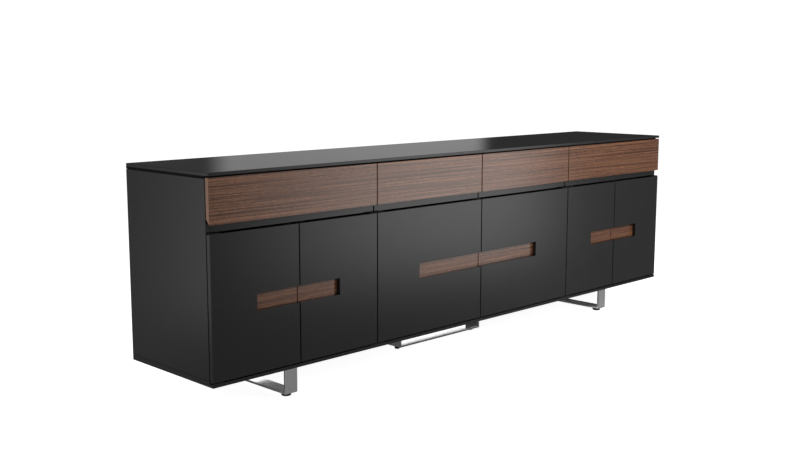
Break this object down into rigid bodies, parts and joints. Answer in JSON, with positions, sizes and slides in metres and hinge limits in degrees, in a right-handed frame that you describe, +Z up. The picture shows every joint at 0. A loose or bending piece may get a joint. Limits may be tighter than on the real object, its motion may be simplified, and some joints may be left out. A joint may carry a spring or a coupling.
{
  "type": "office credenza",
  "caption": "Long low office credenza with walnut drawers over hinged charcoal doors with recessed walnut pulls, standing on polished flat-bar loop legs.",
  "frame": {"origin": "on the floor, below the middle of the body", "axes": "+X along the length to the right as seen from the front, +Y towards the back, +Z up"},
  "size_m": [2.4, 0.445, 0.748],
  "materials": {
    "charcoal_lacquer": "satin charcoal lacquer on board",
    "walnut_veneer": "straight-grained walnut veneer, satin",
    "polished_chrome": "polished",
    "black_steel": "black satin",
    "black_plastic": "matt",
    "grey_box_board": "matt grey foil on board"
  },
  "bodies": {
    "carcass": {"top_panel": "charcoal_lacquer", "bottom_panel": "charcoal_lacquer", "side_panel_left": "charcoal_lacquer", "side_panel_right": "charcoal_lacquer", "partition_left": "charcoal_lacquer", "partition_centre": "charcoal_lacquer", "partition_right": "charcoal_lacquer", "divider_1": "charcoal_lacquer", "divider_2": "charcoal_lacquer", "divider_3": "charcoal_lacquer", "divider_4": "charcoal_lacquer", "back_panel": "charcoal_lacquer", "shelf_1": "charcoal_lacquer", "shelf_2": "charcoal_lacquer", "shelf_3": "charcoal_lacquer", "shelf_4": "charcoal_lacquer", "top_pivot_1": "black_steel", "top_pivot_2": "black_steel", "top_pivot_3": "black_steel", "top_pivot_4": "black_steel", "bottom_pivot_1": "black_steel", "bottom_pivot_2": "black_steel", "bottom_pivot_3": "black_steel", "bottom_pivot_4": "black_steel", "drawer_runner_1": "black_steel", "drawer_runner_2": "black_steel", "drawer_runner_3": "black_steel", "drawer_runner_4": "black_steel", "leg_left": "polished_chrome", "leg_middle": "polished_chrome", "leg_right": "polished_chrome", "leg_plate_left": "black_steel", "leg_plate_middle": "black_steel", "leg_plate_right": "black_steel", "glide_left_front": "black_plastic", "glide_left_back": "black_plastic", "glide_middle_left": "black_plastic", "glide_middle_right": "black_plastic", "glide_right_front": "black_plastic", "glide_right_back": "black_plastic"},
    "door_1": {"door_1": "charcoal_lacquer", "pull_1": "walnut_veneer"},
    "door_2": {"door_2": "charcoal_lacquer", "pull_2": "walnut_veneer"},
    "door_3": {"door_3": "charcoal_lacquer", "pull_3": "walnut_veneer"},
    "door_4": {"door_4": "charcoal_lacquer", "pull_4": "walnut_veneer"},
    "door_5": {"door_5": "charcoal_lacquer", "pull_5": "walnut_veneer"},
    "door_6": {"door_6": "charcoal_lacquer", "pull_6": "walnut_veneer"},
    "drawer_1": {"drawer_front_1": "walnut_veneer", "drawer_box_1": "grey_box_board"},
    "drawer_2": {"drawer_front_2": "walnut_veneer", "drawer_box_2": "grey_box_board"},
    "drawer_3": {"drawer_front_3": "walnut_veneer", "drawer_box_3": "grey_box_board"},
    "drawer_4": {"drawer_front_4": "walnut_veneer", "drawer_box_4": "grey_box_board"}
  },
  "joints": [
    {"name": "door_1_hinge", "type": "hinge", "parent": "carcass", "child": "door_1", "pos_m": [-1.1935, -0.2177, 0.3465], "axis": [0, 0, -1], "range_deg": [0, 90]},
    {"name": "door_2_hinge", "type": "hinge", "parent": "carcass", "child": "door_2", "pos_m": [-0.5375, -0.2177, 0.3465], "axis": [0, 0, 1], "range_deg": [0, 90]},
    {"name": "door_3_hinge", "type": "hinge", "parent": "carcass", "child": "door_3", "pos_m": [-0.5225, -0.2177, 0.3465], "axis": [0, 0, -1], "range_deg": [0, 90]},
    {"name": "door_4_hinge", "type": "hinge", "parent": "carcass", "child": "door_4", "pos_m": [0.5225, -0.2177, 0.3465], "axis": [0, 0, 1], "range_deg": [0, 90]},
    {"name": "door_5_hinge", "type": "hinge", "parent": "carcass", "child": "door_5", "pos_m": [0.5375, -0.2177, 0.3465], "axis": [0, 0, -1], "range_deg": [0, 90]},
    {"name": "door_6_hinge", "type": "hinge", "parent": "carcass", "child": "door_6", "pos_m": [1.1935, -0.2177, 0.3465], "axis": [0, 0, 1], "range_deg": [0, 90]},
    {"name": "drawer_1_slide", "type": "slide", "parent": "carcass", "child": "drawer_1", "axis": [0, -1, 0], "range_m": [0, 0.3]},
    {"name": "drawer_2_slide", "type": "slide", "parent": "carcass", "child": "drawer_2", "axis": [0, -1, 0], "range_m": [0, 0.3]},
    {"name": "drawer_3_slide", "type": "slide", "parent": "carcass", "child": "drawer_3", "axis": [0, -1, 0], "range_m": [0, 0.3]},
    {"name": "drawer_4_slide", "type": "slide", "parent": "carcass", "child": "drawer_4", "axis": [0, -1, 0], "range_m": [0, 0.3]}
  ]
}
